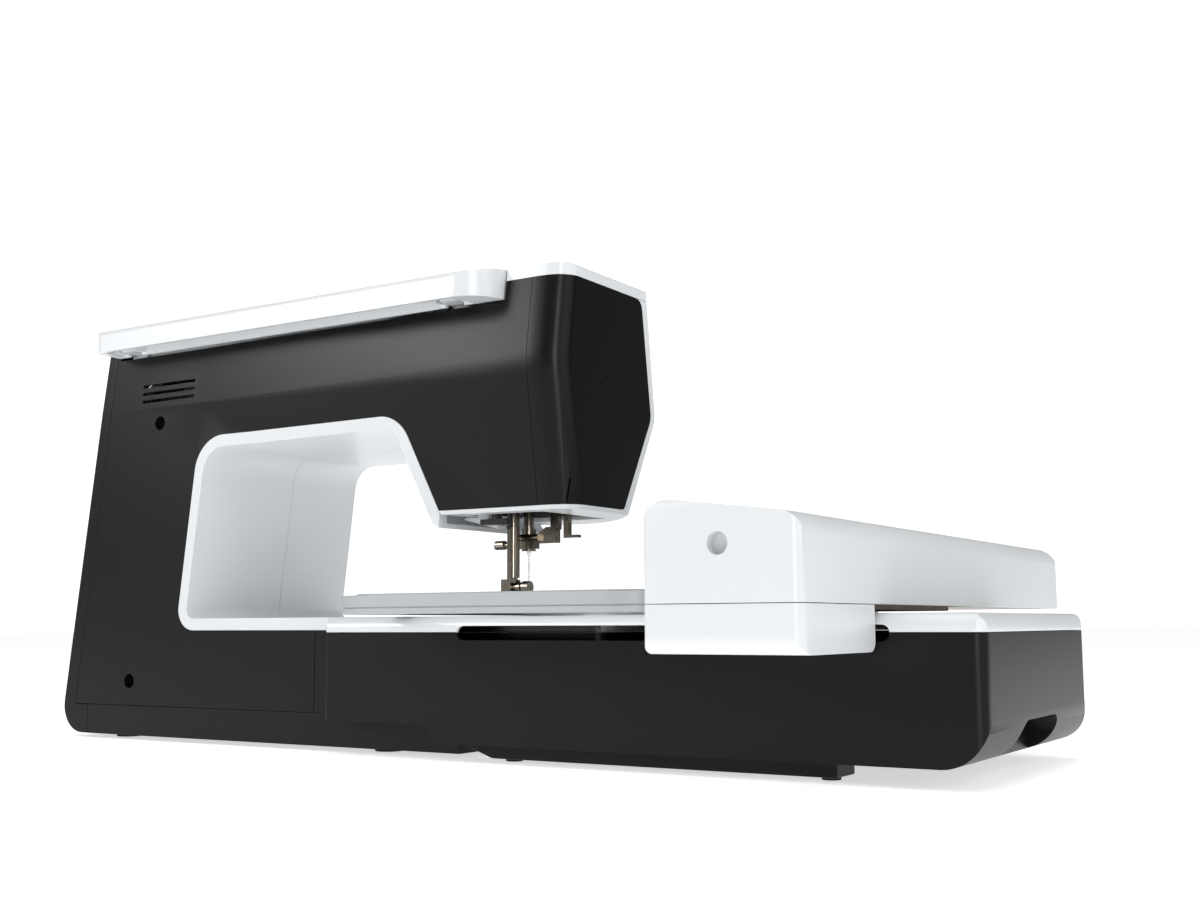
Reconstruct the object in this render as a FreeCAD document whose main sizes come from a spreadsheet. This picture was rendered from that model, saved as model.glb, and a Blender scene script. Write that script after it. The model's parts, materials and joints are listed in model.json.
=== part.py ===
import FreeCAD, Part
import math
import os
import re
import Sketcher

# Embroidery machine with its embroidery module fitted, in millimetres.
# X runs along the machine, from the module (-) to the handwheel (+).
# Y runs from the user's side (-) to the back (+).  Z is up, and the table is Z = 0.

V = FreeCAD.Vector
doc = FreeCAD.newDocument("EmbroideryMachine")
sheet = doc.addObject("Spreadsheet::Sheet", "Sizes")

DIMENSIONS = """
wall 2.5 housing wall
seam 0.3 gap between neighbouring covers
fit 0.05 radial running clearance of a shaft in its bush
body_rear 118.5 back plane of the machine
body_front -38 front plane of the machine
split 30 plane where the rear and front covers meet
body_floor 3 underside of the base pan
pan_top 23.5 seam between the base pan and the covers
pan_left -24 left end of the pan under the module
pan_step 20 top of that left end
base_left 74.5 left face of the base under the throat
base_seam 93.2 upright seam on the back of the base
body_top 292.3 top face of the housing
cover_top 284.8 seam between the top cover and the covers below it
lid_seat 272 upper edge of the rear cover below the lid
pillar_low 342.7 outer face of the pillar at the floor
pillar_high 302.2 outer face of the pillar at the top
side_seam_low 326.7 seam of the side cover at the base pan
side_seam_high 293.4 seam of the side cover at the top
side_foot 313 inner edge of the foot of the side cover
head_end -100.5 end face of the head
end_seam -76.4 seam between the end cover and the rear cover
end_rim 3.5 white rim of the front cover outside the end cover
head_floor 146 underside of the head
head_corner 15 radius of the upright corner at the end of the head
crease_height 234 height of the crease along the back of the head
crease_soft 60 radius of that crease
waist_soft 16 radius of the widest line of the front
crease_out 7.7 how far the crease stands behind the back plane
head_tuck 5.3 how far the back leans in at the underside of the head
waist_height 209 height of the widest line of the front
front_lean 11 how far the front leans in at the top
front_tuck 34 how far the front leans in at the underside of the head
nose_depth 55 how far the end of the head is cut back from the front
nose_run 60 length of that cut along the head
throat_top 210 upper edge of the throat
throat_floor 75.7 lower edge of the throat
throat_wall_low 224 pillar side of the throat at its lower edge
throat_wall_high 207 pillar side of the throat at its upper edge
throat_nose_low -4.5 head side of the throat at its lower edge
throat_nose_high 24 head side of the throat at its upper edge
liner_deep 8.3 width of the rim of the throat liner
liner_skin 3 wall of the throat liner
bed_top 84 working surface
arm_left -112 left end of the free arm
arm_back 102 back face of the free arm
arm_front 8 front face of the free arm
lid_left -56 left end of the lid
lid_right 291 right end of the lid
lid_lip 143 back edge of the lid
lid_front -18 front edge of the lid
lid_low 273.5 underside of the lip of the lid
lid_crown 297 top of the lid
hinge_y 126 lid hinge axis
hinge_z 280 lid hinge axis
needle_x -29.5 needle axis
needle_y 55 needle axis
needle_tip 105 point of the raised needle
presser_gap 17 distance from the needle to the presser bar
lever_y 92 pivot of the presser foot lever
lever_z 170 pivot of the presser foot lever
shaft_z 238 main shaft axis
crank_throw 15.5 half of the needle stroke
lower_y 50 lower shaft axis
lower_z 43 lower shaft axis
belt_radius 20 pulleys of the timing belt
hook_gap 19 distance from the needle to the hook axis
module_left -344.5 outer end of the module
module_right 73 inner end of the module
module_back 133 back face of the module
module_front -69 front face of the module
module_floor 10 underside of the module
module_step 20.7 underside of the module over the base pan
module_seam 74.5 seam between the module base and its top
notch_left -116 end of the notch for the free arm
slot_left -297.5 left end of the carriage slot
slot_right -32.5 right end of the carriage slot
slot_low 70 lower edge of the carriage slot
slot_high 78.3 upper edge of the carriage slot
rail_y 118 rails of the module
beam_left -291 left side of the embroidery arm
beam_right -210 right side of the embroidery arm
beam_front -221.7 front end of the embroidery arm
beam_back 221.7 back end of the embroidery arm
beam_seam 88.2 seam between the upper and lower arm shells
beam_top_left 128.3 top of the arm at its left side
beam_top_right 138.5 top of the arm at its right side
foot_low 65 underside of the arm foot
hoop_left -205.5 left side of the hoop
hoop_right 18.5 right side of the hoop
hoop_front -123 front side of the hoop
hoop_back 197 back side of the hoop
hoop_low 85 underside of the hoop
hoop_high 95.5 top of the hoop
hoop_ring 8 width of one hoop ring
tongue_y -12 centre line of the hoop carriage
wheel_y 55 handwheel axis
wheel_radius 32 handwheel
wheel_out 344.5 outer face of the handwheel
"""

names = []
for row, line in enumerate(DIMENSIONS.strip().splitlines(), 1):
    alias, value, note = line.split(" ", 2)
    sheet.set("A%d" % row, alias)
    sheet.set("B%d" % row, value)
    sheet.set("C%d" % row, note)
    sheet.setAlias("B%d" % row, alias)
    names.append(alias)
doc.recompute()

TURN = {
    "XY": FreeCAD.Rotation(),
    "XZ": FreeCAD.Rotation(V(1, 0, 0), 90),
    "YZ": FreeCAD.Rotation(V(1, 1, 1), 120),
}
ALONG = {
    "X": FreeCAD.Rotation(V(0, 1, 0), 90),
    "Y": FreeCAD.Rotation(V(1, 0, 0), -90),
    "Z": FreeCAD.Rotation(),
}
AXIS = {"X": V(1, 0, 0), "Y": V(0, 1, 0), "Z": V(0, 0, 1)}
NORMAL = {"XY": "Z", "XZ": "Y", "YZ": "X"}


def formula(text):
    """The same formula with every dimension's name pointing at the sheet."""
    return re.sub(r"[a-z_]+", lambda m: "Sizes." + m.group(0) if m.group(0) in names else m.group(0),
        str(text))


def number(text):
    return float(sheet.evalExpression(formula(text)))


def bind(thing, prop, text):
    thing.setExpression(prop, formula(text))


def place(thing, at, turn=None):
    thing.Placement = FreeCAD.Placement(V(), turn or FreeCAD.Rotation())
    for axis, text in zip("xyz", at):
        bind(thing, "Placement.Base." + axis, text)
    return thing


def box(name, x, y, z):
    """A block between two formulas on each axis."""
    block = place(doc.addObject("Part::Box", name), (x[0], y[0], z[0]))
    for prop, (low, high) in zip(("Length", "Width", "Height"), (x, y, z)):
        bind(block, prop, "(%s) - (%s)" % (high, low))
    return block


def rod(name, axis, at, radius, length):
    """A cylinder that starts at a point and runs along +axis."""
    solid = place(doc.addObject("Part::Cylinder", name), at, ALONG[axis])
    bind(solid, "Radius", radius)
    bind(solid, "Height", length)
    return solid


def cone(name, axis, at, first, second, length):
    solid = place(doc.addObject("Part::Cone", name), at, ALONG[axis])
    bind(solid, "Radius1", first)
    bind(solid, "Radius2", second)
    bind(solid, "Height", length)
    return solid


def joined(name, *solids):
    whole = doc.addObject("Part::MultiFuse", name)
    whole.Shapes = list(solids)
    return whole


def group(name, *solids):
    """Separate solids that share one name."""
    whole = doc.addObject("Part::Compound", name)
    whole.Links = list(solids)
    return whole


def common(name, *solids):
    whole = doc.addObject("Part::MultiCommon", name)
    whole.Shapes = list(solids)
    return whole


def cut(name, base, *tools):
    for count, tool in enumerate(tools, 1):
        step = doc.addObject("Part::Cut", name if count == len(tools) else name + "_step")
        step.Base = base
        step.Tool = tool
        base = step
    return base


def pin_point(sketch, geometry, corner):
    """Hold a sketch point at a corner given by two formulas."""
    for axis, kind, text in ((-2, "DistanceX", corner[0]), (-1, "DistanceY", corner[1])):
        value = number(text)
        if abs(value) < 1e-9:
            sketch.addConstraint(Sketcher.Constraint("PointOnObject", geometry, 1, axis))
        else:
            made = sketch.addConstraint(Sketcher.Constraint(kind, -1, 1, geometry, 1, value))
            bind(sketch, "Constraints[%d]" % made, text)


def outline(name, plane, corners, at="0"):
    """A closed outline of straight runs; a corner is (u, v) or (u, v, radius)."""
    sketch = doc.addObject("Sketcher::SketchObject", name)
    sketch.Placement = FreeCAD.Placement(V(), TURN[plane])
    bind(sketch, "Placement.Base." + NORMAL[plane].lower(), at)
    tips = [V(number(corner[0]), number(corner[1]), 0) for corner in corners]
    bends = []
    for index, corner in enumerate(corners):
        tip = tips[index]
        back = (tips[index - 1] - tip).normalize()
        ahead = (tips[(index + 1) % len(tips)] - tip).normalize()
        if len(corner) == 2:
            bends.append((tip, tip, None, 0))
            continue
        radius = number(corner[2])
        half = back.getAngle(ahead) / 2
        reach = radius / math.tan(half)
        centre = tip + (back + ahead).normalize() * (radius / math.sin(half))
        bends.append((tip + back * reach, tip + ahead * reach, centre, radius))
    runs = []
    for index, bend in enumerate(bends):
        run = Part.LineSegment(bend[1], bends[(index + 1) % len(bends)][0])
        runs.append(sketch.addGeometry(run, False))
    for index, corner in enumerate(corners):
        start, end, centre, radius = bends[index]
        before = runs[index - 1]
        after = runs[index]
        if not radius:
            sketch.addConstraint(Sketcher.Constraint("Coincident", before, 2, after, 1))
            pin_point(sketch, after, corner)
            continue
        left_turn = (tips[index] - tips[index - 1]).cross(tips[(index + 1) % len(tips)] - tips[index]).z > 0
        first, last = (start, end) if left_turn else (end, start)
        circle = Part.Circle(centre, V(0, 0, 1), radius)
        arc = sketch.addGeometry(Part.ArcOfCircle(circle, circle.parameter(first),
            circle.parameter(last)), False)
        joint = 1 if left_turn else 2
        tip = sketch.addGeometry(Part.Point(tips[index]), True)
        pin_point(sketch, tip, corner)
        sketch.addConstraint(Sketcher.Constraint("PointOnObject", tip, 1, before))
        sketch.addConstraint(Sketcher.Constraint("PointOnObject", tip, 1, after))
        sketch.addConstraint(Sketcher.Constraint("Tangent", before, 2, arc, joint))
        sketch.addConstraint(Sketcher.Constraint("Tangent", arc, 3 - joint, after, 1))
        made = sketch.addConstraint(Sketcher.Constraint("Radius", arc, radius))
        bind(sketch, "Constraints[%d]" % made, corner[2])
    return sketch


def run_out(name, profile, axis, length):
    """An outline carried along +axis to a closed solid."""
    solid = doc.addObject("Part::Extrusion", name)
    solid.Base = profile
    solid.DirMode = "Custom"
    solid.Dir = AXIS[axis]
    solid.Solid = True
    bind(solid, "LengthFwd", length)
    return solid


def prism(name, plane, corners, low, high):
    """An outline carried from one plane to another."""
    shape = outline(name + "_outline", plane, corners, low)
    return run_out(name, shape, NORMAL[plane], "(%s) - (%s)" % (high, low))


def inset(name, profile, amount):
    ring = doc.addObject("Part::Offset2D", name)
    ring.Source = profile
    ring.Join = "Intersection"
    bind(ring, "Value", "-(%s)" % amount)
    return ring


def rounded(name, base, radius, wanted):
    """Round the edges of a solid that a test picks out."""
    doc.recompute()
    made = doc.addObject("Part::Fillet", name)
    made.Base = base
    size = number(radius)
    picks = [(number_of, size, size) for number_of, edge in enumerate(base.Shape.Edges, 1) if wanted(edge)]
    made.Edges = picks
    return made


parts = []


def part(name, solid):
    """Name a finished sub-part."""
    solid.Label = name
    parts.append(solid)
    return solid


# ---------------------------------------------------------------- housing shape

body_outline = outline("body_outline", "XZ", [
    ("pan_left", "body_floor"),
    ("pillar_low", "body_floor", "20"),
    ("pillar_high", "body_top", "8"),
    ("head_end", "body_top", "3"),
    ("head_end", "head_floor", "3"),
    ("throat_nose_low", "head_floor", "3"),
    ("throat_nose_high", "throat_top", "24"),
    ("throat_wall_high", "throat_top", "27"),
    ("throat_wall_low", "throat_floor", "15"),
    ("base_left", "throat_floor"),
    ("base_left", "pan_step"),
    ("pan_left + 20.5", "pan_step"),
    ("pan_left + 9", "module_floor - 1.5"),
    ("pan_left", "module_floor - 1.5"),
], "-80")


def softened(corner, before, after, radius, steps=4):
    """Points along the arc that rounds one corner of a cross-section."""
    back = (before - corner).normalize()
    ahead = (after - corner).normalize()
    half = back.getAngle(ahead) / 2
    start = corner + back * (radius / math.tan(half))
    end = corner + ahead * (radius / math.tan(half))
    centre = corner + (back + ahead).normalize() * (radius / math.sin(half))
    points = []
    for step in range(steps + 1):
        spoke = start + (end - start) * (step / steps) - centre
        points.append(centre + spoke.normalize() * radius)
    return points


def body_section(x, crease, cut_back, tuck, skin):
    """Corners of the machine's cross-section at one X, drawn in by a wall thickness."""
    radius = number("head_corner")
    reach = min(radius, max(0, radius - (x - number("head_end"))))
    back = number("body_rear - %s" % skin) - radius + math.sqrt(radius ** 2 - reach ** 2)
    front = number("body_front + %s" % skin) + cut_back
    low = number("body_floor - 8")
    top = number("body_top + 4")
    floor = number("head_floor")
    tucked = V(x, back - number("head_tuck") * crease, floor)
    ridge = V(x, back + number("crease_out") * crease, number("crease_height"))
    back_top = V(x, back - 1, top)
    front_top = V(x, front + number("front_lean"), top)
    waist = V(x, front, number("waist_height"))
    front_low = V(x, front + number("front_tuck") * tuck, floor)
    return (
        [V(x, back, low), V(x, back, number("throat_floor")), tucked]
        + softened(ridge, tucked, back_top, number("crease_soft"))
        + [back_top, front_top]
        + softened(waist, front_top, front_low, number("waist_soft"))
        + [front_low, V(x, front, number("throat_floor")), V(x, front, low)]
    )


def facets(corners):
    """Four corners as one flat face, or as two triangles where they twist."""
    first, second, third, fourth = corners
    lift = (second - first).cross(third - first).dot(fourth - first)
    if abs(lift) < 1e-3:
        return [Part.Face(Part.makePolygon(corners + [first]))]
    return [
        Part.Face(Part.makePolygon([first, second, third, first])),
        Part.Face(Part.makePolygon([first, third, fourth, first])),
    ]


def body_form(name, skin):
    """The long form of the machine, cut back in a curve at the end of the head."""
    end = number("head_end") - 1
    length = number("nose_run") + 1
    corner = number("head_corner")
    rounding = [corner * (1 - math.cos(math.radians(turn))) + 1 for turn in (20, 40, 60, 90)]
    stations = []
    for offset in [0] + rounding + [length * run for run in (0.45, 0.65, 0.82, 1)]:
        stations.append((end + offset, 1, number("nose_depth") * (1 - offset / length) ** 1.6, 1))
    stations.append((number("throat_nose_high") + 8, 0.7, 0, 1))
    stations.append((number("throat_wall_high"), 0, 0, 0))
    stations.append((number("pillar_low") + 10, 0, 0, 0))
    rings = [body_section(*station, skin) for station in stations]
    faces = [Part.Face(Part.makePolygon(ring + [ring[0]])) for ring in (rings[0], rings[-1])]
    for near, far in zip(rings, rings[1:]):
        for index in range(len(near)):
            following = (index + 1) % len(near)
            faces += facets([near[index], near[following], far[following], far[index]])
    form = doc.addObject("Part::Feature", name)
    form.Shape = Part.Solid(Part.Shell(faces))
    return form


body_form_outer = body_form("body_form", "0")
body_form_inner = body_form("body_space", "wall")
body_block = run_out("body_block", body_outline, "Y", "220")
body_inset = inset("body_inset", body_outline, "wall")
body_hollow = run_out("body_hollow", body_inset, "Y", "220")
body_outer = common("body_outer", body_block, body_form_outer)
body_inner = common("body_inner", body_hollow, body_form_inner)
shell = cut("shell", body_outer, body_inner)

# ---------------------------------------------------------------- how the covers divide it

FAR = "400"
lid_bay = box("lid_bay", ("lid_left - 1.5", "lid_right + 1.5"), ("lid_front - 1.5", "200"), ("lid_seat",
    "320"))


def side_zone(name, gap):
    return prism(name, "XZ", [
        ("side_foot - %s" % gap, "0"),
        (FAR, "0"),
        (FAR, "cover_top + %s" % gap),
        ("side_seam_high - %s" % gap, "cover_top + %s" % gap),
        ("side_seam_low - %s" % gap, "pan_top + %s" % gap),
        ("side_foot - %s" % gap, "pan_top + %s" % gap),
    ], "-80", "160")


def end_zone(name, rim, floor, right):
    """The end of the head inside the rim of the front cover."""
    front = "body_front + nose_depth + %s" % rim
    return prism(name, "YZ", [
        ("200", floor),
        ("200", "cover_top - seam"),
        ("%s + front_lean" % front, "cover_top - seam", "7"),
        (front, "waist_height", "12"),
        ("%s + front_tuck" % front, floor, "4"),
    ], "head_end - 5", right)


rear_region = box("rear_region", ("end_seam", FAR), ("split + seam / 2", "200"), ("pan_top + seam",
    "cover_top - seam"))
UNDERSIDE = (("head_end - 5", "throat_nose_high"), ("-80", "200"))
head_underside = box("head_underside", *UNDERSIDE, ("head_floor - 5", "head_floor + wall"))
head_gap = box("head_gap", *UNDERSIDE, ("head_floor - 5", "head_floor + wall + seam"))
front_region = joined(
    "front_region", head_underside,
    box("front_region_main", ("head_end - 5", FAR), ("-80", "split - seam / 2"), ("pan_top + seam",
        "cover_top - seam")),
    box("front_region_end", ("head_end - 5", "end_seam - seam"), ("-80", "body_rear - 30"),
        ("head_floor - 5", "cover_top - seam")),
)
top_region = box("top_region", ("head_end - 5", FAR), ("-80", "200"), ("cover_top", "300"))
pan_region = box("pan_region", ("pan_left - 5", "side_foot - seam"), ("-80", "200"), ("0", "pan_top"))
free_arm_way = box("free_arm_way", ("base_left - 5", "base_left + 8"), ("arm_front + 7", "arm_back - 7"),
    ("27", "73"))
head_way = box("head_way", ("needle_x - 42", "needle_x + 17"), ("needle_y - 25", "needle_y + 46"),
    ("head_floor - 5", "head_floor + 8"))

# ---------------------------------------------------------------- rear cover

SCREW_SPOTS = (("247", "222.6"), ("269.8", "40.5"))


def screw_solids(name, first_y, radius, length):
    return [rod("%s_%d" % (name, spot), "Y", (x, first_y, z), radius, length)
            for spot, (x, z) in enumerate(SCREW_SPOTS, 1)]


vents = group("vents", *[
    prism("vent_%d" % row, "XZ", [
        ("212.3", "%.1f" % z, "1"),
        ("266.3", "%.1f" % z, "1"),
        ("266.3", "%.1f" % (z + 2.2), "1"),
        ("212.3", "%.1f" % (z + 2.2), "1"),
    ], "100", "140")
    for row, z in enumerate((238.2, 243.7, 249.2), 1)
])
rear_blank = cut(
    "rear_blank", common("rear_slice", shell, rear_region),
    side_zone("side_gap_rear", "seam"), lid_bay,
    end_zone("end_gap_rear", "end_rim", "head_floor + wall", "end_seam"),
    free_arm_way, head_gap,
)
rear_bosses = joined("rear_bosses", rear_blank, *screw_solids("boss", "body_rear - 13", "7.5", "12"))
rear_cover = part("rear_cover", cut(
    "RearCover", rear_bosses, vents,
    group("screw_heads_room", *screw_solids("counterbore", "body_rear - 10", "5", "20")),
    group("screw_shanks_room", *screw_solids("clearance", "body_rear - 20", "2", "20")),
    box("base_groove", ("base_seam - 0.25", "base_seam + 0.25"), ("body_rear - 0.7", "body_rear + 5"),
        ("pan_top", "throat_floor + 5")),
))
cover_screws = part("cover_screws", group("CoverScrews", *[
    joined("cover_screw_%d" % spot, head, shank)
    for spot, (head, shank) in enumerate(zip(
        screw_solids("screw_head", "body_rear - 10", "4", "2.6"),
        screw_solids("screw_shank", "body_rear - 26", "1.8", "17")), 1)
]))

# ---------------------------------------------------------------- side cover, base pan, end cover

inlet_room = box("inlet_room", ("300", FAR), ("66", "96"), ("38", "60"))
switch_room = box("switch_room", ("300", FAR), ("70", "92"), ("74", "92"))
side_cover = part("side_cover", cut(
    "SideCover", common("side_slice", shell, side_zone("side_part", "0")),
    rod("wheel_room", "X", ("280", "wheel_y", "shaft_z"), "wheel_radius + 1.5", "80"),
    inlet_room, switch_room,
    box("side_top_trim", ("250", FAR), ("-80", "200"), ("cover_top - seam", "300")),
    box("side_lid_trim", ("250", "lid_right + 1.5"), ("lid_front", "200"), ("lid_seat", "300")),
))
base_pan = part("base_pan", common("BasePan", shell, pan_region))
end_part = common("end_slice", shell, end_zone(
    "end_part_zone", "end_rim + seam", "head_floor + wall + seam", "end_seam - seam"))
PLUG_RADIUS = "6.2"
plug_at = ("75.4", "221.5")
end_cover = part("end_cover", cut(
    "EndCover", end_part,
    rod("plug_room", "X", ("head_end - 5",) + plug_at, PLUG_RADIUS + " + 0.3", "12"),
    box("end_slit", ("head_end - 5", "head_end + 6"), ("109.6", "110.6"), ("140", "164")),
))
end_plug = part("end_plug", joined(
    "EndPlug",
    rod("plug_disc", "X", ("head_end - 0.2",) + plug_at, PLUG_RADIUS, "2.2"),
    rod("plug_stem", "X", ("head_end + 1",) + plug_at, "4", "6"),
))

# ---------------------------------------------------------------- front cover, display, controls

DISPLAY = {"left": "232", "right": "296", "low": "122", "high": "200"}
display_room = box(
    "display_room", (DISPLAY["left"], DISPLAY["right"]), ("-60", "split - 40"), (DISPLAY["low"],
        DISPLAY["high"]))
BUTTONS = (("thread_cut_button", "52", "6"), ("start_stop_button", "84", "9"))
BUTTON_HEIGHT = "228"
button_rooms = [
    rod(name + "_room", "Y", (x, "-60", BUTTON_HEIGHT), "%s + 0.5" % radius, "50") for name, x,
        radius in BUTTONS]
slider_room = box("slider_room", ("120", "160"), ("-60", "-15"), ("226", "230"))
lever_room = box("lever_room", ("needle_x - 30", "needle_x - 22"), ("-60", "5"), ("224", "270"))
front_cover = part("front_cover", cut(
    "FrontCover", common("front_slice", shell, front_region),
    side_zone("side_gap_front", "seam"), lid_bay,
    end_zone("end_gap_front", "end_rim", "head_floor + wall", "end_seam"),
    free_arm_way, head_way, display_room, group("button_rooms", *button_rooms), slider_room, lever_room,
))
display_glass = part("display_glass", box(
    "DisplayGlass", ("232.2", "295.8"), ("body_front - 0.8", "body_front + 1.9"), ("122.2", "199.8")))
for name, x, radius in BUTTONS:
    part(name, joined(
        name + "_solid",
        rod(name + "_cap", "Y", (x, "body_front - 1.5", BUTTON_HEIGHT), radius, "16"),
        rod(name + "_stem", "Y", (x, "body_front + 14", BUTTON_HEIGHT), "2.5", "10"),
    ))
speed_slider = part("speed_slider", joined(
    "SpeedSlider",
    box("slider_stem", ("123", "127"), ("body_front - 1", "body_front + 14"), ("226.4", "229.6")),
    box("slider_cap", ("121", "129"), ("body_front - 4", "body_front - 0.6"), ("223", "233")),
    box("slider_foot", ("120", "130"), ("body_front + 12", "body_front + 15"), ("222", "234")),
))

# ---------------------------------------------------------------- throat liner

throat_outline = outline("throat_outline", "XZ", [
    ("-260", "throat_floor"),
    ("-260", "head_floor"),
    ("throat_nose_low", "head_floor", "3"),
    ("throat_nose_high", "throat_top", "24"),
    ("throat_wall_high", "throat_top", "27"),
    ("throat_wall_low", "throat_floor", "15"),
], "-80")


def throat_prism(name, amount, low, high):
    profile = inset(name + "_profile", throat_outline, amount)
    whole = run_out(name + "_whole", profile, "Y", "240")
    return common(name, whole, box(name + "_run", ("-300", FAR), (low, high), ("60", "230")))


liner_ring = cut(
    "liner_ring", throat_prism("liner_outer", "0.2", "-80", "160"),
    throat_prism("liner_bore", "liner_deep", "-85", "165"),
    cut("liner_relief", throat_prism("relief_outer", "-5", "body_front + 10", "body_rear - 12"),
        throat_prism("relief_inner", "liner_deep - liner_skin", "-85", "165")),
    box("liner_open_low", ("-300", "base_left"), ("-90", "170"), ("60", "110")),
    box("liner_open_high", ("-300", "throat_nose_low + 1"), ("-90", "170"), ("110", "160")),
)
liner = common("liner", liner_ring, body_form_outer)
throat_liner_rear = part("throat_liner_rear", common(
    "ThroatLinerRear", liner, box("liner_rear_half", ("-20", FAR), ("split + 0.1", "200"), ("60", "230"))))
throat_liner_front = part("throat_liner_front", common(
    "ThroatLinerFront", liner, box("liner_front_half", ("-20", FAR), ("-80", "split - 0.1"), ("60", "230"))))

# ---------------------------------------------------------------- top cover and lid

tray = cut(
    "tray",
    box("tray_block", ("40", "286"), ("lid_front - 2", "112"), ("262", "287")),
    box("tray_well", ("42", "284"), ("lid_front", "110"), ("264", "290")),
)
top_frame = cut("top_frame", common("top_slice", shell, top_region), lid_bay)
top_strip = box("top_strip", ("lid_left + 8", "290"), ("lid_front - 6", "lid_front - 1.6"), ("286", "289"))
top_shelf = cut(
    "top_shelf",
    box("shelf_plate", ("lid_left", "292"), ("lid_front - 2", "108"), ("285.6", "287")),
    box("shelf_well", ("42", "284"), ("lid_front", "120"), ("280", "290")),
)
top_tie = box("top_tie", ("lid_left - 6", "lid_left + 2"), ("lid_front - 2", "100"), ("285.6", "287"))
top_post = box("top_post", ("lid_left - 6", "lid_left - 2"), ("20", "100"), ("285.6", "289.5"))
winder_stop = rod("winder_stop", "Z", ("238", "20", "263.5"), "6", "14")
top_cover = part("top_cover", joined(
    "TopCover", top_frame, tray, top_shelf, top_strip, top_tie, top_post, winder_stop))

HINGES = ("-20", "272")
lid_profile = prism("lid_form", "YZ", [
    ("lid_lip", "lid_low"),
    ("lid_lip", "lid_crown - 8", "5"),
    ("80", "lid_crown", "40"),
    ("lid_front + 8", "lid_crown", "4"),
    ("lid_front", "lid_crown - 6", "2"),
    ("lid_front", "287.5"),
    ("112", "287.5"),
    ("119", "lid_low"),
], "lid_left", "lid_right")
lid_plan = prism("lid_plan", "XY", [
    ("lid_left", "lid_front"),
    ("lid_right", "lid_front", "3"),
    ("lid_right", "lid_lip", "8"),
    ("lid_left", "lid_lip", "24"),
], "265", "305")
lid_blank = common("lid_blank", lid_profile, lid_plan)
lid_hollow = cut(
    "lid_hollow", lid_blank,
    box("lid_panel_room", ("lid_left + 3", "lid_right - 3"), ("lid_front + 8", "108"), ("280",
        "lid_crown - 4")),
    box("lid_lip_room", ("lid_left + 22", "lid_right - 8"), ("121.5", "lid_lip - 3"), ("265", "286")),
    group("lid_notches", *[
        box("lid_notch_%d" % side, (x + " - 7", x + " + 7"), ("104", "122"), ("265", "286.4"))
        for side, x in enumerate(HINGES, 1)]),
)
lugs = []
for side, x in enumerate(HINGES, 1):
    for edge, (low, high) in enumerate(((" - 11", " - 7.2"), (" + 7.2", " + 11")), 1):
        lugs.append(box("lug_%d_%d" % (side, edge), (x + low, x + high), ("121", "131"), ("275", "286.5")))
RIB_COUNT = 22
RIB_PITCH = 11
ribs = [
    box("lid_rib_%d" % count, ("%d" % (6 + RIB_PITCH * count), "%d + 1.2" % (6 + RIB_PITCH * count)),
        ("121", "lid_lip - 2.5"), ("280", "287"))
    for count in range(RIB_COUNT)]
lid = part("lid", cut(
    "Lid", joined("lid_lugged", lid_hollow, *lugs, *ribs),
    group("lug_bores", *[
        rod("lug_bore_%d" % side, "X", (x + " - 14", "hinge_y", "hinge_z"), "2 + fit", "28")
        for side, x in enumerate(HINGES, 1)]),
))
lid_hinges = part("lid_hinges", group("LidHinges", *[
    joined(
        "lid_hinge_%d" % side,
        box("hinge_leg_%d" % side, (x + " - 6", x + " + 6"), ("112.4", "115.4"), ("255", "285")),
        box("hinge_reach_%d" % side, (x + " - 6", x + " + 6"), ("112.4", "hinge_y"), ("hinge_z - 5",
            "hinge_z + 5")),
        rod("hinge_eye_%d" % side, "X", (x + " - 6", "hinge_y", "hinge_z"), "5", "12"),
        rod("hinge_pin_%d" % side, "X", (x + " - 10.5", "hinge_y", "hinge_z"), "2", "21"),
    )
    for side, x in enumerate(HINGES, 1)
]))
spool_pin = part("spool_pin", joined(
    "SpoolPin",
    box("spool_stand", ("218", "226"), ("66", "82"), ("264", "284")),
    rod("spool_rod", "X", ("110", "74", "276"), "3", "110"),
    cone("spool_cap", "X", ("126", "74", "276"), "8", "9.5", "7"),
))
bobbin_winder = part("bobbin_winder", joined(
    "BobbinWinder",
    rod("winder_base", "Z", ("262", "20", "264.1"), "7", "3"),
    rod("winder_post", "Z", ("262", "20", "264.1"), "2.95", "20"),
))

# ---------------------------------------------------------------- free arm

free_arm_plan = outline("free_arm_plan", "XY", [
    ("arm_left", "arm_front", "12"),
    ("base_left - 0.4", "arm_front"),
    ("base_left - 0.4", "arm_back"),
    ("arm_left", "arm_back", "12"),
], "24")
free_arm_block = run_out("free_arm_block", free_arm_plan, "Z", "bed_top - 24")
free_arm_space = common(
    "free_arm_space",
    run_out("free_arm_inner", inset("free_arm_inset", free_arm_plan, "wall"), "Z", "60"),
    box("free_arm_height", ("-200", FAR), ("-50", "150"), ("24 + wall", "bed_top - wall")),
)
PLATE = {"x": ("needle_x - 30", "needle_x + 38"), "y": ("arm_front + 6", "arm_back - 18")}
free_arm_cover = part("free_arm_cover", cut(
    "FreeArmCover", free_arm_block, free_arm_space,
    box("plate_room", PLATE["x"], PLATE["y"], ("70", "100")),
    box("free_arm_open_end", ("base_left - 10", FAR), ("arm_front + 7", "arm_back - 7"), ("27", "73")),
))
hook_y = "needle_y - hook_gap"
needle_plate = part("needle_plate", cut(
    "NeedlePlate",
    box("plate_block", (PLATE["x"][0] + " + 0.2", PLATE["x"][1] + " - 0.2"),
        (PLATE["y"][0] + " + 0.2", PLATE["y"][1] + " - 0.2"), ("bed_top - 1.6", "bed_top + 0.2")),
    rod("needle_hole", "Z", ("needle_x", "needle_y", "70"), "1.6", "30"),
    box("bobbin_window", ("needle_x - 17", "needle_x + 17"), ("arm_front + 8", "needle_y - 8"), ("70",
        "100")),
))
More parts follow.
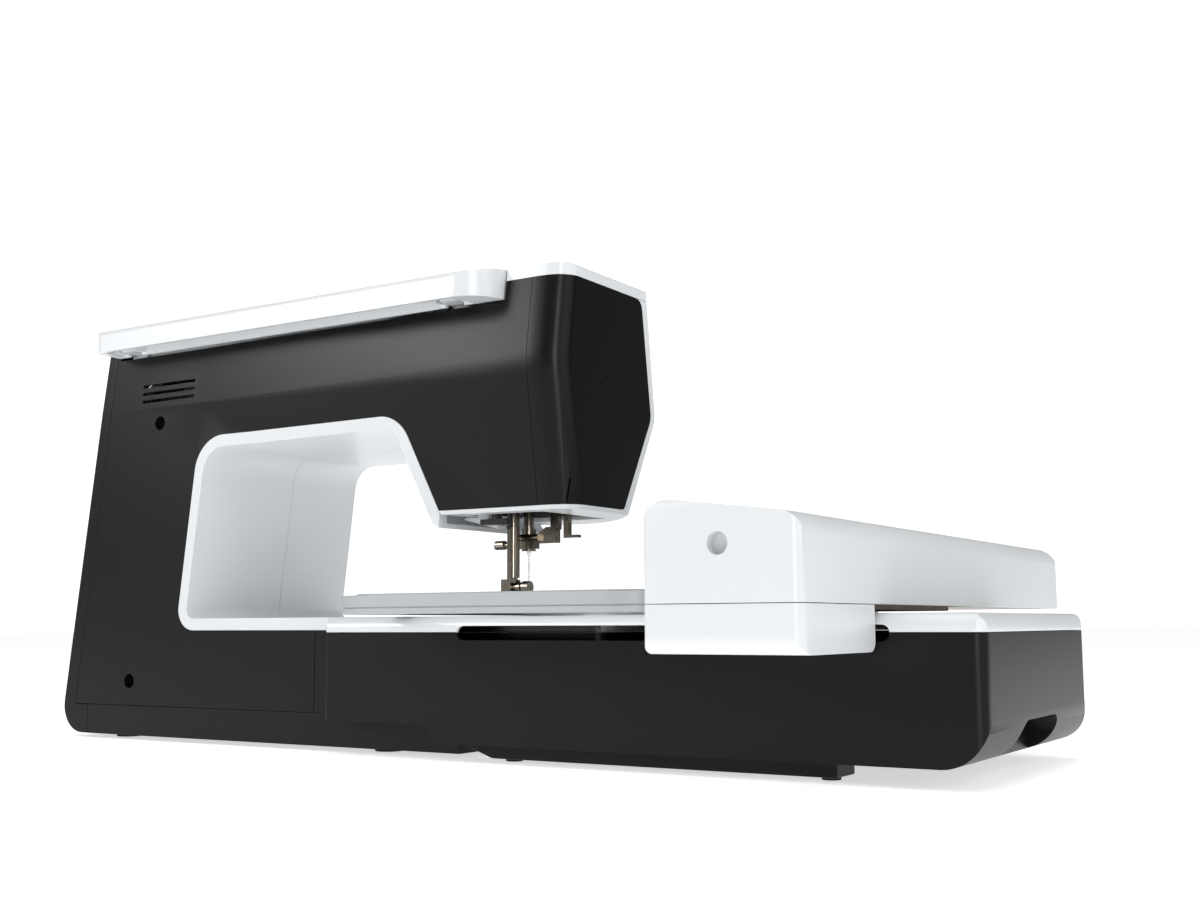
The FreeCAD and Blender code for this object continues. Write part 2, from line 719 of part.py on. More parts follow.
bobbin_cover = part("bobbin_cover", box(
    "BobbinCover", ("needle_x - 16.8", "needle_x + 16.8"), ("arm_front + 8.2", "needle_y - 8.2"),
    ("bed_top - 1.4", "bed_top + 0.2")))

# ---------------------------------------------------------------- frame and bushes

frame_plate = prism("frame_plate", "XZ", [
    ("-92", "155"),
    ("-12", "155"),
    ("14", "212"),
    ("14", "218"),
    ("235", "218"),
    ("235", "56"),
    ("-100", "56"),
    ("-100", "28"),
    ("286", "28"),
    ("286", "258"),
    ("30", "258"),
    ("30", "278"),
    ("-92", "278"),
], "78", "86")


def bracket(name, x, z, y_low):
    return box(name, x, (y_low, "80"), z)


bar_brackets = [
    bracket("bar_bracket_low", ("needle_x - 9", "needle_x + 9"), ("158", "170"), "needle_y - 9"),
    bracket("bar_bracket_high", ("needle_x - 9", "needle_x + 7"), ("236", "246"), "needle_y - 9"),
]
SHAFT_BUSHES = (("20", "12"), ("236", "12"))
shaft_brackets = [
    bracket("shaft_bracket_%d" % count, (x, "%s + %s" % (x, run)), ("shaft_z - 12", "shaft_z + 12"),
        "wheel_y - 12")
    for count, (x, run) in enumerate(SHAFT_BUSHES, 1)
]
LOWER_BUSHES = (("60", "12"), ("246", "12"))
lower_brackets = [
    bracket("lower_bracket_%d" % count, (x, "%s + %s" % (x, run)), ("lower_z - 8", "lower_z + 8"),
        "lower_y - 9")
    for count, (x, run) in enumerate(LOWER_BUSHES, 1)
]
hook_bracket = bracket("hook_bracket", ("needle_x - 14", "needle_x + 14"), ("48", "54"),
    "needle_y - hook_gap - 12")
BARS = (("needle_y", "3.2"), ("needle_y + presser_gap", "4"))
BAR_BUSHES = (("158", "12"), ("236", "10"))


def bar_rods(name, extra):
    return [
        rod("%s_%d_%d" % (name, bar, level), "Z", ("needle_x", y, z), "%s + %s" % (radius, extra), run)
        for bar, (y, radius) in enumerate(BARS, 1)
        for level, (z, run) in enumerate(BAR_BUSHES, 1)
    ]


def shaft_rods(name, extra):
    upper = [
        rod("%s_upper_%d" % (name, count), "X", (x, "wheel_y", "shaft_z"), "6 + %s" % extra, run)
        for count, (x, run) in enumerate(SHAFT_BUSHES, 1)]
    lower = [
        rod("%s_lower_%d" % (name, count), "X", (x, "lower_y", "lower_z"), "4 + %s" % extra, run)
        for count, (x, run) in enumerate(LOWER_BUSHES, 1)]
    return upper + lower


lever_bracket = box(
    "lever_bracket", ("needle_x - 8", "needle_x - 4"), ("80", "lever_y + 5"), ("lever_z - 5", "lever_z + 5"))
lever_bore = rod("lever_bore", "X", ("needle_x - 20", "lever_y", "lever_z"), "2 + fit", "30")
hook_bush_block = rod("hook_bush_block", "Z", ("needle_x", hook_y, "48"), "6.5", "6")
chassis = part("chassis", cut(
    "Chassis",
    joined("chassis_blank", frame_plate, hook_bracket, lever_bracket,
           *(bar_brackets + shaft_brackets + lower_brackets)),
    group("bar_bores", *bar_rods("bar_bore", "2.2")),
    group("shaft_bores", *shaft_rods("shaft_bore", "2.5")),
    hook_bush_block, lever_bore,
))


def bush_rings(outers, bores):
    return [cut(outer.Name + "_ring", outer, bore) for outer, bore in zip(outers, bores)]


bushes = part("bushes", group("Bushes", *(
    bush_rings(bar_rods("bar_bush", "2.2"), bar_rods("bar_clear", "fit"))
    + bush_rings(shaft_rods("shaft_bush", "2.5"), shaft_rods("shaft_clear", "fit"))
    + bush_rings([rod("hook_bush_outer", "Z", ("needle_x", hook_y, "48"), "6.5", "6")],
                 [rod("hook_bush_bore", "Z", ("needle_x", hook_y, "40"), "4 + fit", "20")])
)))

# ---------------------------------------------------------------- main drive

handwheel_disc = cut(
    "handwheel_disc", rod("wheel_blank", "X", ("306", "wheel_y", "shaft_z"), "wheel_radius",
        "wheel_out - 306"),
    rod("wheel_bore", "X", ("300", "wheel_y", "shaft_z"), "6", "50"))
handwheel = part("handwheel", rounded(
    "Handwheel", handwheel_disc, "3",
    lambda edge: abs(edge.BoundBox.YMax - edge.BoundBox.YMin - 2 * number("wheel_radius")) < 0.1
    and edge.BoundBox.XMin > number("wheel_out") - 0.1 and edge.BoundBox.XMax - edge.BoundBox.XMin < 0.1))
main_shaft = part("main_shaft", joined(
    "MainShaft",
    rod("main_shaft_rod", "X", ("-2", "wheel_y", "shaft_z"), "6", "332"),
    rod("crank_disc", "X", ("-2", "wheel_y", "shaft_z"), "19", "6"),
    rod("crank_pin", "X", ("-9", "wheel_y", "shaft_z + crank_throw"), "2.5", "7.5"),
    rod("timing_pulley", "X", ("262", "wheel_y", "shaft_z"), "belt_radius", "12"),
    rod("motor_driven_pulley", "X", ("290", "wheel_y", "shaft_z"), "28", "10"),
))
connecting_rod = part("connecting_rod", cut(
    "ConnectingRod",
    joined(
        "connecting_rod_blank",
        rod("big_end", "X", ("-7.6", "wheel_y", "shaft_z + crank_throw"), "5", "4"),
        rod("small_end", "X", ("-7.6", "wheel_y", "shaft_z + crank_throw - 38"), "4.5", "4"),
        box("rod_web", ("-7.6", "-3.6"), ("wheel_y - 3", "wheel_y + 3"), ("shaft_z + crank_throw - 38",
            "shaft_z + crank_throw")),
    ),
    rod("big_end_bore", "X", ("-20", "wheel_y", "shaft_z + crank_throw"), "2.5 + fit", "30"),
))

def belt(name, x, width, first, second):
    """A belt loop round two pulleys on X axes; each pulley is (y, z, radius)."""
    def loop(label, extra):
        shape = doc.addObject("Part::Feature", label)
        circles = [(number(y), number(z), number(radius) + extra) for y, z, radius in (first, second)]
        (ay, az, ar), (by, bz, br) = circles
        reach = math.hypot(by - ay, bz - az)
        heading = math.atan2(bz - az, by - ay)
        lean = math.acos((ar - br) / reach)
        left = number(x)
        points = []
        for angle in (heading + lean, heading - lean):
            for cy, cz, cr in circles:
                points.append(V(left, cy + cr * math.cos(angle), cz + cr * math.sin(angle)))
        far_a = V(left, ay - ar * math.cos(heading), az - ar * math.sin(heading))
        far_b = V(left, by + br * math.cos(heading), bz + br * math.sin(heading))
        edges = [
            Part.LineSegment(points[0], points[1]).toShape(),
            Part.Arc(points[1], far_b, points[3]).toShape(),
            Part.LineSegment(points[3], points[2]).toShape(),
            Part.Arc(points[2], far_a, points[0]).toShape(),
        ]
        shape.Shape = Part.Face(Part.Wire(edges)).extrude(V(number(width), 0, 0))
        return shape
    return cut(name, loop(name + "_outside", 2.2), loop(name + "_inside", 0.4))


MOTOR = ("6", "118")
drive_belts = part("drive_belts", group(
    "DriveBelts",
    belt("timing_belt", "263", "10", ("wheel_y", "shaft_z", "belt_radius"), ("lower_y", "lower_z",
        "belt_radius")),
    belt("motor_belt", "291", "8", ("wheel_y", "shaft_z", "28"), MOTOR + ("9",)),
))
drive_motor = cut(
    "drive_motor",
    joined("motor_blank", rod("motor_can", "X", ("233", MOTOR[0], MOTOR[1]), "21", "52"),
           box("motor_mount", ("236", "244"), (MOTOR[0], "77.8"), ("100", "136"))),
    rod("motor_bore", "X", ("270", MOTOR[0], MOTOR[1]), "3 + fit", "30"),
)
motors = part("motors", group("Motors", drive_motor, rod("x_motor", "Z", ("-240", "30", "12.6"), "18", "40")))
motor_rotor = part("motor_rotor", joined(
    "MotorRotor", rod("motor_spindle", "X", ("272", MOTOR[0], MOTOR[1]), "3", "28"),
    rod("motor_pulley", "X", ("290", MOTOR[0], MOTOR[1]), "9", "10")))
lower_shaft = part("lower_shaft", joined(
    "LowerShaft", rod("lower_shaft_rod", "X", ("-42", "lower_y", "lower_z"), "4", "322"),
    rod("lower_gear", "X", ("needle_x - 7", "lower_y", "lower_z"), "4.6", "14"),
    rod("lower_pulley", "X", ("262", "lower_y", "lower_z"), "belt_radius", "12")))
hook = part("hook", cut(
    "Hook",
    joined(
        "hook_blank", rod("hook_cup", "Z", ("needle_x", hook_y, "57"), "18", "20"),
        rod("hook_shaft", "Z", ("needle_x", hook_y, "37"), "4", "22"),
        rod("hook_gear", "Z", ("needle_x", hook_y, "38"), "9.2", "8")),
    rod("hook_space", "Z", ("needle_x", hook_y, "60"), "16.4", "20"),
))
bobbin_case = part("bobbin_case", cut(
    "BobbinCase", rod("case_cup", "Z", ("needle_x", hook_y, "60.6"), "15.8", "18.4"),
    rod("case_space", "Z", ("needle_x", hook_y, "62.6"), "12.4", "20")))
bobbin = part("bobbin", cut(
    "Bobbin", rod("bobbin_blank", "Z", ("needle_x", hook_y, "63"), "11.6", "13"),
    cut("bobbin_winding", rod("winding_outer", "Z", ("needle_x", hook_y, "64.2"), "15", "10.6"),
        rod("winding_inner", "Z", ("needle_x", hook_y, "60"), "4.5", "20")),
    rod("bobbin_bore", "Z", ("needle_x", hook_y, "60"), "3", "20"),
))

# ---------------------------------------------------------------- needle and presser bars

needle_bar = part("needle_bar", joined(
    "NeedleBar", rod("needle_bar_rod", "Z", ("needle_x", "needle_y", "needle_tip + 34.3"), "3.2",
        "285 - needle_tip - 34.3"),
    box("drive_block", ("needle_x - 6", "needle_x + 16"), ("needle_y - 5", "needle_y + 5"), ("208", "218"))))
clamp_low = "needle_tip + 20.3"
needle_clamp = part("needle_clamp", cut(
    "NeedleClamp",
    joined(
        "needle_clamp_blank",
        rod("clamp_body", "Z", ("needle_x", "needle_y", clamp_low), "4.6", "14"),
        box("clamp_ear", ("needle_x - 6.2", "needle_x + 8"), ("needle_y - 3", "needle_y + 4"),
            (clamp_low + " + 1.5", clamp_low + " + 7.5"))),
    rod("shank_room", "Z", ("needle_x", "needle_y", clamp_low + " - 5"), "1.05", "30"),
    rod("clamp_thread", "X", ("needle_x + 2", "needle_y", clamp_low + " + 4.5"), "1.5 + fit", "10"),
))
clamp_screw = part("clamp_screw", joined(
    "ClampScrew", rod("clamp_screw_shank", "X", ("needle_x + 2", "needle_y", clamp_low + " + 4.5"), "1.5",
        "18"),
    rod("clamp_screw_knob", "X", ("needle_x + 18.5", "needle_y", clamp_low + " + 4.5"), "3", "7.4")))
needle = part("needle", joined(
    "Needle", cone("needle_point", "Z", ("needle_x", "needle_y", "needle_tip"), "0.1", "0.42", "4"),
    rod("needle_blade", "Z", ("needle_x", "needle_y", "needle_tip + 4"), "0.42", "16"),
    rod("needle_shank", "Z", ("needle_x", "needle_y", "needle_tip + 18"), "1.05", "16")))
presser_y = "needle_y + presser_gap"
foot_thread = rod("foot_thread", "X", ("needle_x - 8", presser_y, "102"), "1.5 + fit", "12")
presser_bar = part("presser_bar", cut(
    "PresserBar", rod("presser_bar_rod", "Z", ("needle_x", presser_y, "98"), "4", "160"),
    box("presser_bar_flat", ("needle_x - 5", "needle_x - 0.6"), (presser_y + " - 5", presser_y + " + 5"),
        ("97", "108")),
    foot_thread,
))
presser_foot = part("presser_foot", cut(
    "PresserFoot",
    joined(
        "presser_foot_blank",
        box("foot_block", ("needle_x - 1.6", "needle_x + 5.5"), (presser_y + " - 5.5",
            presser_y + " + 5.6"), ("91", "107")),
        box("foot_arm", ("needle_x - 4", "needle_x + 4"), ("needle_y + 6", presser_y), ("87", "94")),
        rod("foot_ring", "Z", ("needle_x", "needle_y", "86.4"), "9", "2"),
        box("foot_bridge", ("needle_x - 4", "needle_x + 4"), ("needle_y + 5", "needle_y + 10"), ("86.4",
            "94"))),
    rod("foot_eye", "Z", ("needle_x", "needle_y", "80"), "3.5", "20"),
    rod("foot_socket", "Z", ("needle_x", presser_y, "98"), "4", "20"),
    foot_thread,
))
foot_screw = part("foot_screw", joined(
    "FootScrew", rod("foot_screw_shank", "X", ("needle_x - 13", presser_y, "102"), "1.5", "16"),
    rod("foot_screw_collar", "X", ("needle_x - 6.5", presser_y, "102"), "3.2", "4.6"),
    rod("foot_screw_knob", "X", ("needle_x - 13", presser_y, "102"), "3.9", "5")))
presser_lever = part("presser_lever", joined(
    "PresserLever",
    rod("lever_pivot", "X", ("needle_x - 7.5", "lever_y", "lever_z"), "2", "12"),
    box("lever_arm", ("needle_x - 3.6", "needle_x + 0.4"), ("lever_y - 3", "lever_y + 3"), ("140",
        "lever_z + 4")),
    box("lever_handle", ("needle_x - 11", "needle_x + 9"), ("lever_y - 3", "lever_y + 3"), ("140",
        "143.6"))))
take_up_lever = part("take_up_lever", joined(
    "TakeUpLever", rod("take_up_hub", "X", ("needle_x - 28", "44", "216"), "6", "4"),
    prism("take_up_arm", "YZ", [("40", "212"), ("47", "216"), ("4", "254"), ("-2", "250")],
          "needle_x - 27", "needle_x - 25")))
threader_y = ("needle_y + 2", "needle_y + 6")
threader = part("threader", joined(
    "Threader",
    rod("threader_shaft", "Z", ("needle_x - 23.5", "needle_y + 4.5", "149"), "2", "66"),
    box("threader_block", ("needle_x - 26.5", "needle_x - 20.5"), threader_y, ("138", "150")),
    prism("threader_plate", "XZ", [
        ("needle_x - 26.8", "129.6"),
        ("needle_x - 11.3", "129.6"),
        ("needle_x - 11.3", "136"),
        ("needle_x - 17", "139.9"),
        ("needle_x - 26.8", "139.9"),
    ], "needle_y + 4", "needle_y + 6"),
    *[rod("threader_rivet_%d" % count, "Y", ("needle_x - 24", "needle_y + 3", z), "1.3", "4")
      for count, z in enumerate(("132.2", "137.2"), 1)],
    rod("threader_barrel", "X", ("needle_x - 13", "needle_y + 7.4", "133.5"), "2.3", "14"),
    box("threader_arm", ("needle_x - 34", "needle_x - 30.4"), threader_y, ("132.5", "158")),
    box("threader_step", ("needle_x - 41", "needle_x - 30.4"), threader_y, ("132.5", "134.3")),
    box("threader_tie", ("needle_x - 34", "needle_x - 22"), threader_y, ("154", "158"))))
led_lamp = part("led_lamp", joined(
    "LedLamp", box("lamp_case", ("-22", "-13.4"), ("78", "88"), ("head_floor - 1.5", "head_floor + 8")),
    prism("lamp_lens", "XZ", [
        ("needle_x + 1", "head_floor - 8"),
        ("throat_nose_low + 2", "head_floor - 1.4"),
        ("throat_nose_low + 2", "head_floor - 0.3"),
        ("-14", "head_floor - 0.3"),
        ("-23", "head_floor - 2"),
        ("needle_x + 1", "head_floor - 5.6"),
    ], "78", "87.6")))

# ---------------------------------------------------------------- electrics

power_inlet = part("power_inlet", cut(
    "PowerInlet", box("inlet_block", ("306", "336"), ("66.3", "95.7"), ("38.3", "59.7")),
    box("inlet_well", ("318", "350"), ("70", "92"), ("42", "56"))))
power_switch = part("power_switch", joined(
    "PowerSwitch", box("switch_rocker", ("325.5", "333"), ("71", "91"), ("75.4", "90.6")),
    rod("switch_pivot", "Y", ("327", "71", "83"), "3", "20")))
control_board = part("control_board", joined(
    "ControlBoard", box("board", ("238", "292"), ("95", "96.6"), ("62", "205")),
    box("board_heat_sink", ("245", "270"), ("88", "95.2"), ("80", "120")),
    box("board_capacitor", ("275", "288"), ("87", "95.2"), ("140", "170")),
    box("board_socket", ("244", "262"), ("89", "95.2"), ("180", "190"))))

# ---------------------------------------------------------------- feet

FOOT_SPOTS = (("50", "0"), ("50", "95"), ("295", "-15"), ("295", "95"))
machine_feet = [
    rod("machine_foot_%d" % count, "Z", (x, y, "0"), "9", "body_floor")
    for count, (x, y) in enumerate(FOOT_SPOTS, 1)]
SKIDS = (("98", "122"), ("-56", "-32"))
module_skids = part("module_skids", group("ModuleSkids", *[
    prism("module_skid_%d" % count, "XZ", [
        ("-264", "2"),
        ("-50", "2", "6"),
        ("-27", "module_floor"),
        ("-264", "module_floor"),
    ], low, high)
    for count, (low, high) in enumerate(SKIDS, 1)
]))
module_feet = [
    rod("module_foot_%s_%d" % (label, count), "Z", (x, "(%s + %s) / 2" % (low, high), "0"), "5", "2")
    for label, x in (("left", "-256"), ("right", "-58"))
    for count, (low, high) in enumerate(SKIDS, 1)]
rubber_feet = part("rubber_feet", group("RubberFeet", *(machine_feet + module_feet)))

# ---------------------------------------------------------------- module


def module_plan(name, extra, notch_round):
    """The module from above: a block with a notch for the free arm."""
    return outline(name, "XY", [
        ("module_left", "module_front", "16"),
        ("module_right", "module_front", "10"),
        ("module_right", "arm_front - 3", "7"),
        ("notch_left", "arm_front - 3", notch_round),
        ("notch_left", "arm_back + 3", notch_round),
        ("module_right", "arm_back + 3", "7"),
        ("module_right", "module_back", "5"),
        ("module_left", "module_back", "7"),
    ], extra)


def module_profile(name, low, round_left, top):
    return outline(name, "XZ", [
        ("module_left", "module_floor", round_left),
        ("-19.5", "module_floor", "5"),
        ("-8.5", "module_step", "5"),
        ("module_right", "module_step", "4"),
        ("module_right", top),
        ("module_left", top),
    ], low)


base_plan = module_plan("module_base_plan", "0", "10")
base_profile = module_profile("module_base_profile", "-100", "24", "module_seam - 0.1")
space_profile = module_profile("module_space_profile", "-100", "24", "120")
base_outer = common(
    "module_base_outer", run_out("module_base_block", base_plan, "Z", "100"),
    run_out("module_base_cross", base_profile, "Y", "260"))
base_inner = common(
    "module_base_inner", run_out("module_base_room", inset("module_base_inset", base_plan, "wall"), "Z",
        "130"),
    run_out("module_cross_room", inset("module_profile_inset", space_profile, "wall"), "Y", "260"))
carriage_slot = prism("carriage_slot", "XZ", [
    ("slot_left", "slot_low", "4"),
    ("slot_right", "slot_low", "4"),
    ("slot_right", "slot_high", "4"),
    ("slot_left", "slot_high", "4"),
], "module_back - 12", "module_back + 5")
GRIP = ("2", "72", "30", "18")
grip_pocket = common("grip_pocket", base_outer, box(
    "grip_walls", ("module_left", "module_left + %s + wall" % GRIP[3]),
    (GRIP[0] + " - wall", GRIP[1] + " + wall"), ("0", GRIP[2] + " + wall")))
finger_grip = prism("finger_grip", "YZ", [
    (GRIP[0], "0"),
    (GRIP[1], "0"),
    (GRIP[1], GRIP[2], "10"),
    (GRIP[0], GRIP[2], "10"),
], "module_left - 5", "module_left + " + GRIP[3])
module_blank = joined(
    "module_base_blank", cut("module_base_shell", base_outer, base_inner, carriage_slot), grip_pocket)
module_base = part("module_base", cut("ModuleBase", module_blank, finger_grip))
top_plan = module_plan("module_top_plan", "module_seam + 0.1", "10")
top_block = common(
    "module_top_form", run_out("module_top_block", top_plan, "Z", "30"),
    prism("module_top_long", "XZ", [
        ("module_left", "module_seam"),
        ("module_right", "module_seam"),
        ("module_right", "bed_top", "3"),
        ("module_left", "bed_top", "8"),
    ], "-100", "200"),
    prism("module_top_wide", "YZ", [
        ("module_front", "module_seam"),
        ("module_back", "module_seam"),
        ("module_back", "bed_top", "7"),
        ("module_front", "bed_top", "7"),
    ], "-400", "100"),
)
module_top = part("module_top", cut(
    "ModuleTop", top_block,
    common(
        "module_top_room",
        run_out("module_top_inner", inset("module_top_inset", top_plan, "wall + 1.5"), "Z", "60"),
        box("module_top_height", ("-400", "200"), ("-100", "200"), ("60", "bed_top - wall"))),
    carriage_slot,
))
RAIL_HEIGHTS = ("58", "34")
x_rails = part("x_rails", joined(
    "XRails",
    *[rod("x_rail_%d" % count, "X", ("-330", "rail_y", z), "4", "390") for count,
        z in enumerate(RAIL_HEIGHTS, 1)],
    *[box("rail_end_%d" % count, (x, x + " + 8"), ("rail_y - 7", "rail_y + 7"), ("24", "68"))
      for count, x in enumerate(("-332", "54"), 1)],
))

# ---------------------------------------------------------------- embroidery arm

beam_plan = outline("beam_plan", "XY", [
    ("beam_left", "beam_front", "6"),
    ("beam_right", "beam_front", "6"),
    ("beam_right", "beam_back", "4"),
    ("beam_left", "beam_back", "6"),
], "50")
beam_cross = outline("beam_cross", "XZ", [
    ("beam_left", "beam_seam + 0.15"),
    ("beam_right", "beam_seam + 0.15"),
    ("beam_right", "beam_top_right", "13"),
    ("beam_left", "beam_top_left", "11"),
], "-260")
beam_side = outline("beam_side", "YZ", [
    ("beam_front", "beam_seam + 1"),
    ("beam_front", "beam_seam - 10"),
    ("beam_back", "beam_seam - 10"),
    ("beam_back", "beam_top_right + 0.5", "6"),
    ("beam_front + 16", "beam_top_right - 4", "24"),
    ("beam_front + 2", "beam_seam + 30", "10"),
], "-320")


def beam_form(name, skin):
    """The arm shell's form from its plan, cross-section and side outlines."""
    profiles = (("plan", beam_plan, "Z", "100"), ("cross", beam_cross, "Y", "520"), ("side", beam_side,
        "X", "160"))
    solids = []
    for label, profile, axis, length in profiles:
        source = inset("%s_%s_inset" % (name, label), profile, skin) if skin else profile
        solids.append(run_out("%s_%s" % (name, label), source, axis, length))
    return common(name, *solids)


beam_space = beam_form("beam_space", "wall")
beam_mouth = box("beam_mouth", ("beam_left + wall", "beam_right - wall"), ("beam_front + wall",
    "beam_back - wall"), ("80", "94"))
tongue_slot = box("tongue_slot", ("beam_right - 10", "beam_right + 10"), ("tongue_y - 118",
    "tongue_y + 164"), ("92", "101.5"))
recess_cup = common("recess_cup", beam_form("recess_end", ""),
                    rod("recess_boss", "Y", ("-249.9", "beam_back - 9", "115.5"), "8", "20"))
arm_shell = cut("arm_shell", beam_form("beam_outer", ""), beam_space, beam_mouth)
arm_upper_shell = part("arm_upper_shell", cut(
    "ArmUpperShell", joined("arm_shell_blank", arm_shell, recess_cup), tongue_slot,
    rod("arm_recess", "Y", ("-249.9", "beam_back - 7", "115.5"), "5.4", "20"),
))
arm_rail = part("arm_rail", joined(
    "ArmRail",
    box("arm_floor", ("beam_left + wall + 0.2", "beam_right - wall - 0.2"), ("beam_front + 9", "134"),
        ("beam_seam + 0.4", "beam_seam + 2.4")),
    box("y_rail_end", ("-262", "-238"), ("-212", "-196"), ("beam_seam + 1", "119")),
    rod("y_rail", "Y", ("-250", "-206", "111"), "4", "364"),
))
foot_plan = outline("foot_plan", "XY", [
    ("beam_left", "module_back + 1.2"),
    ("beam_right", "module_back + 1.2"),
    ("beam_right", "beam_back", "4"),
    ("beam_left", "beam_back", "6"),
], "50")
foot_side = outline("foot_side", "YZ", [
    ("module_back + 1.2", "foot_low", "6"),
    ("beam_back", "foot_low", "9"),
    ("beam_back", "beam_seam - 0.15"),
    ("module_back + 1.2", "beam_seam - 0.15"),
], "-320")
foot_space_side = outline("foot_space_side", "YZ", [
    ("module_back + 1.2", "foot_low", "6"),
    ("beam_back", "foot_low", "9"),
    ("beam_back", "beam_seam + 20"),
    ("module_back + 1.2", "beam_seam + 20"),
], "-320")
arm_lower_shell = part("arm_lower_shell", cut(
    "ArmLowerShell",
    common("foot_outer", run_out("foot_block", foot_plan, "Z", "60"), run_out("foot_cross", foot_side,
        "X", "160")),
    common("foot_inner", run_out("foot_room", inset("foot_inset", foot_plan, "wall"), "Z", "60"),
           run_out("foot_cross_room", inset("foot_side_inset", foot_space_side, "wall"), "X", "160")),
    box("plate_way", ("-281", "-220"), ("module_back - 5", "module_back + 10"), ("71.5", "76.5")),
))
arm_carriage = part("arm_carriage", cut(
    "ArmCarriage",
    joined(
        "arm_carriage_blank",
        box("slide_plate", ("-280", "-221"), ("rail_y - 7", "205"), ("72", "76")),
        box("rail_block", ("-275", "-226"), ("rail_y - 8", "rail_y + 8"), ("26", "73")),
        box("arm_post", ("-268", "-232"), ("150", "158"), ("75", "118")),
        box("arm_shelf", ("-268", "-232"), ("150", "200"), ("100", "104"))),
    *[rod("rail_bore_%d" % count, "X", ("-300", "rail_y", z), "4 + fit", "120")
      for count, z in enumerate(RAIL_HEIGHTS, 1)],
    rod("arm_rail_bore", "Y", ("-250", "140", "111"), "4", "40"),
))
hoop_carriage = part("hoop_carriage", cut(
    "HoopCarriage",
    joined(
        "hoop_carriage_blank",
        box("carriage_block", ("-261", "-239"), ("tongue_y - 20", "tongue_y + 20"), ("93.5", "120")),
        box("carriage_tongue", ("-245", "hoop_left - 0.4"), ("tongue_y - 22", "tongue_y + 22"), ("94",
            "99.5"))),
    rod("carriage_bore", "Y", ("-250", "tongue_y - 30", "111"), "4 + fit", "60"),
))

# ---------------------------------------------------------------- hoop


def hoop_plan(name, amount, corner):
    return outline(name, "XY", [
        ("hoop_left + %s" % amount, "hoop_front + %s" % amount, corner),
        ("hoop_right - (%s)" % amount, "hoop_front + %s" % amount, corner),
        ("hoop_right - (%s)" % amount, "hoop_back - (%s)" % amount, corner),
        ("hoop_left + %s" % amount, "hoop_back - (%s)" % amount, corner),
    ], "hoop_low - 5")


def hoop_block(name, amount, corner, low, high):
    whole = run_out(name + "_whole", hoop_plan(name + "_plan", amount, corner), "Z", "40")
    return common(name, whole, box(name + "_height", ("-300", "100"), ("-200", "300"), (low, high)))


ring_groove = cut(
    "ring_groove", hoop_block("groove_outer", "(-20)", "54", "hoop_low + 3.2", "hoop_low + 4"),
    hoop_block("groove_inner", "0.8", "33.2", "hoop_low", "hoop_high"))
hoop_outer = part("hoop_outer", cut(
    "HoopOuter",
    joined(
        "hoop_outer_blank",
        cut("outer_ring_lined", hoop_block("outer_ring", "0", "34", "hoop_low", "hoop_high"), ring_groove),
        box("hoop_foot", ("hoop_left - 4", "hoop_left + 6"), ("tongue_y - 34", "tongue_y + 34"),
            ("hoop_low + 1", "93.6")),
        box("hoop_clasp", ("hoop_left - 3.4", "hoop_left + 6"), ("tongue_y - 34", "tongue_y - 22.4"),
            ("hoop_low + 1", "103")),
        box("hoop_clasp_front", ("hoop_left - 3.4", "hoop_left + 6"), ("tongue_y + 22.4",
            "tongue_y + 34"), ("hoop_low + 1", "103")),
        box("hoop_screw_block_left", ("-111", "-99"), ("hoop_front - 10", "hoop_front + 4"),
            ("hoop_low + 1", "hoop_high")),
        box("hoop_screw_block_right", ("-96", "-84"), ("hoop_front - 10", "hoop_front + 4"),
            ("hoop_low + 1", "hoop_high"))),
    hoop_block("outer_ring_bore", "hoop_ring", "26", "hoop_low - 4", "hoop_high + 20"),
    box("hoop_split", ("-99", "-96"), ("hoop_front - 20", "hoop_front + 12"), ("hoop_low - 5",
        "hoop_high + 5")),
    rod("hoop_screw_bore", "X", ("-115", "hoop_front - 6", "91"), "2", "40"),
))
hoop_inner = part("hoop_inner", cut(
    "HoopInner", hoop_block("inner_ring", "hoop_ring + 0.2", "25.8", "hoop_low + 0.5", "hoop_high + 1"),
    hoop_block("inner_ring_bore", "2 * hoop_ring", "18", "hoop_low - 4", "hoop_high + 20")))
hoop_screw = part("hoop_screw", joined(
    "HoopScrew", rod("hoop_screw_shank", "X", ("-113", "hoop_front - 6", "91"), "1.9", "36"),
    rod("hoop_screw_knob", "X", ("-83.7", "hoop_front - 6", "91"), "5.4", "14")))

# ---------------------------------------------------------------- check and write

doc.recompute()
bad = [item.Name for item in doc.Objects if "Invalid" in item.State or "Error" in item.State]
for piece in parts:
    if piece.Shape.isNull() or not piece.Shape.isValid() or not piece.Shape.Solids:
        bad.append(piece.Label)
if bad:
    raise SystemExit("failed objects: " + ", ".join(bad))
os.makedirs("parts", exist_ok=True)
for piece in parts:
    piece.Shape.exportStep("parts/%s.step" % piece.Label)
print(len(parts), "sub-parts written")
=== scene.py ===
"""Embroidery machine: finishes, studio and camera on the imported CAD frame.

Everything is in metres in the CAD's own frame: X towards the handwheel, Y towards the
back of the machine, Z up, and the table at Z = 0.
"""
import json
import math

import bmesh
import bpy
from mathutils import Euler, Matrix, Vector


